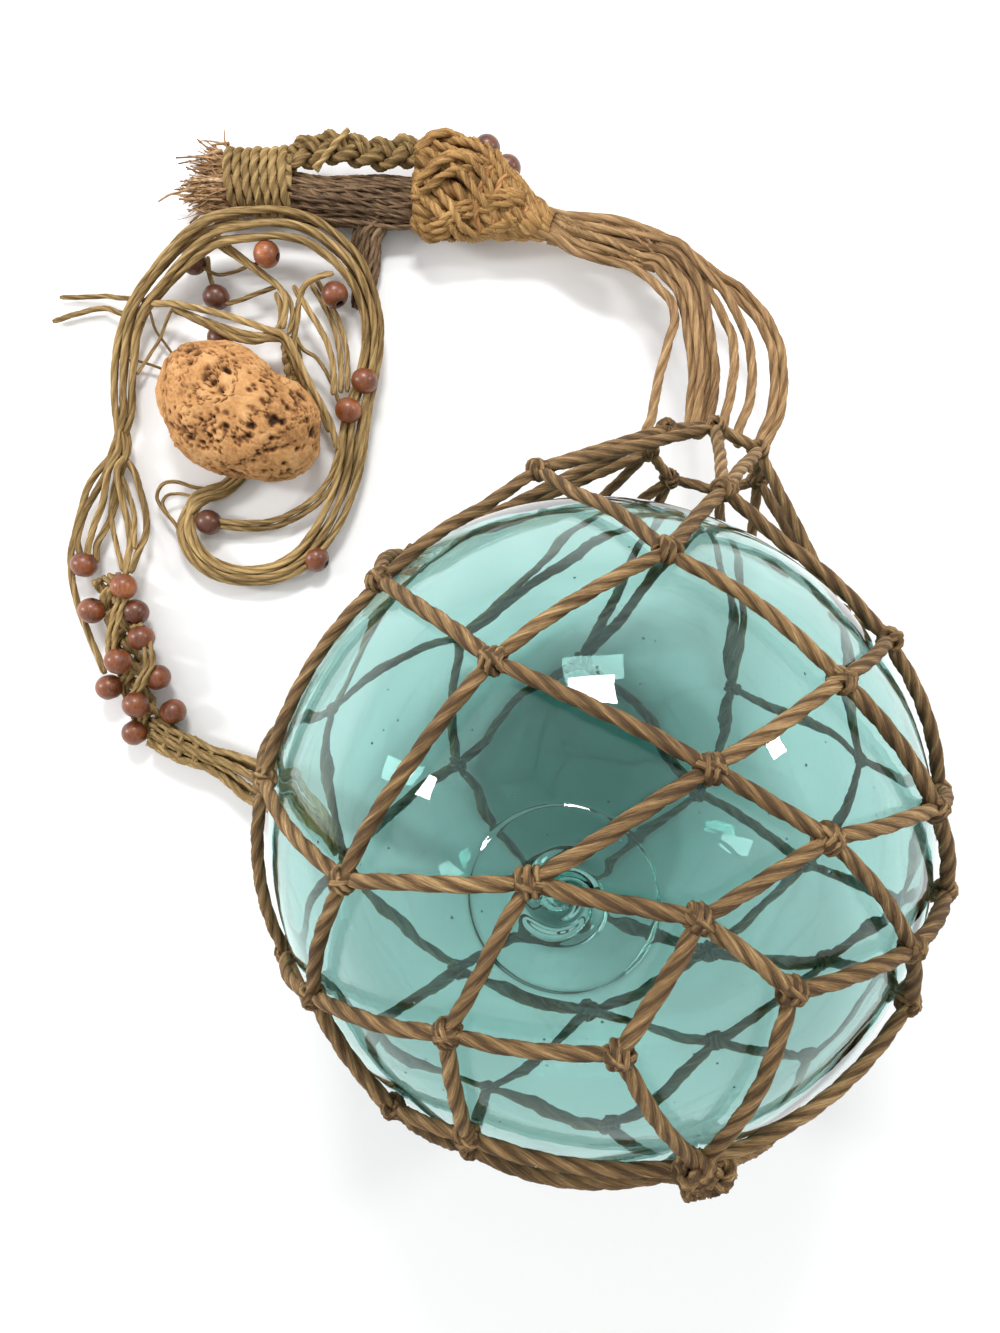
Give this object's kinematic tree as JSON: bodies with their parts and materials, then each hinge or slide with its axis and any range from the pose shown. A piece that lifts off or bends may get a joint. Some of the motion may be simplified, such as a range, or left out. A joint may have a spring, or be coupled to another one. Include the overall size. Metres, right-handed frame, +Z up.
{
  "type": "glass fishing float in knotted net with macrame hanger",
  "caption": "Sealed blown glass float ball in a knotted jute net, with a macrame jute hanger carrying wooden beads and a cork float.",
  "frame": {"origin": "middle of the small flat spot under the glass ball, on the table", "axes": "+Z up from the table; +Y from the ball towards the net's mouth and the crown of the hanger; +X to the right of that, away from the beaded leg"},
  "size_m": [0.3192, 0.3678, 0.2047],
  "materials": {
    "glass": "clear sea-green blown glass, a little wavy, with small bubbles",
    "net_twine": "hairy twisted jute twine, brown",
    "hanger_cord": "smooth jute cord, golden tan",
    "grey_cord": "bundled jute, grey-brown",
    "cork": "raw pitted cork bark",
    "bead_wood": "stained reddish brown wood, satin varnish"
  },
  "bodies": {
    "root": {"glass_float": "glass", "net": "net_twine", "neck_cord_1": "hanger_cord", "neck_cord_2": "hanger_cord", "neck_cord_3": "hanger_cord", "neck_cord_4": "hanger_cord", "neck_cord_5": "hanger_cord", "cord_hank": "hanger_cord", "return_cord": "hanger_cord", "inner_cord": "hanger_cord", "cross_cord_1": "hanger_cord", "cross_cord_2": "hanger_cord", "cross_cord_3": "hanger_cord", "cross_cord_4": "hanger_cord", "knotted_cord": "hanger_cord", "stray_end_1": "hanger_cord", "stray_end_2": "hanger_cord", "leg_cord_1": "hanger_cord", "leg_cord_2": "hanger_cord", "leg_cord_3": "hanger_cord", "leg_cord_4": "hanger_cord", "leg_cord_5": "hanger_cord", "neck_bundle": "hanger_cord", "crown_knot": "hanger_cord", "top_sinnet": "hanger_cord", "tuft_wrap": "hanger_cord", "frayed_tuft": "hanger_cord", "beaded_sinnet": "hanger_cord", "tail_bundle": "hanger_cord", "core_bundle": "grey_cord", "core_end": "grey_cord", "cork_float": "cork", "bead_1": "bead_wood", "bead_2": "bead_wood", "bead_3": "bead_wood", "bead_4": "bead_wood", "bead_5": "bead_wood", "bead_6": "bead_wood", "bead_7": "bead_wood", "bead_8": "bead_wood", "bead_9": "bead_wood", "bead_10": "bead_wood", "bead_11": "bead_wood", "bead_12": "bead_wood", "bead_13": "bead_wood", "bead_14": "bead_wood", "bead_15": "bead_wood", "bead_16": "bead_wood", "bead_17": "bead_wood", "bead_18": "bead_wood", "bead_19": "bead_wood", "bead_20": "bead_wood", "bead_21": "bead_wood", "bead_22": "bead_wood"}
  },
  "joints": []
}
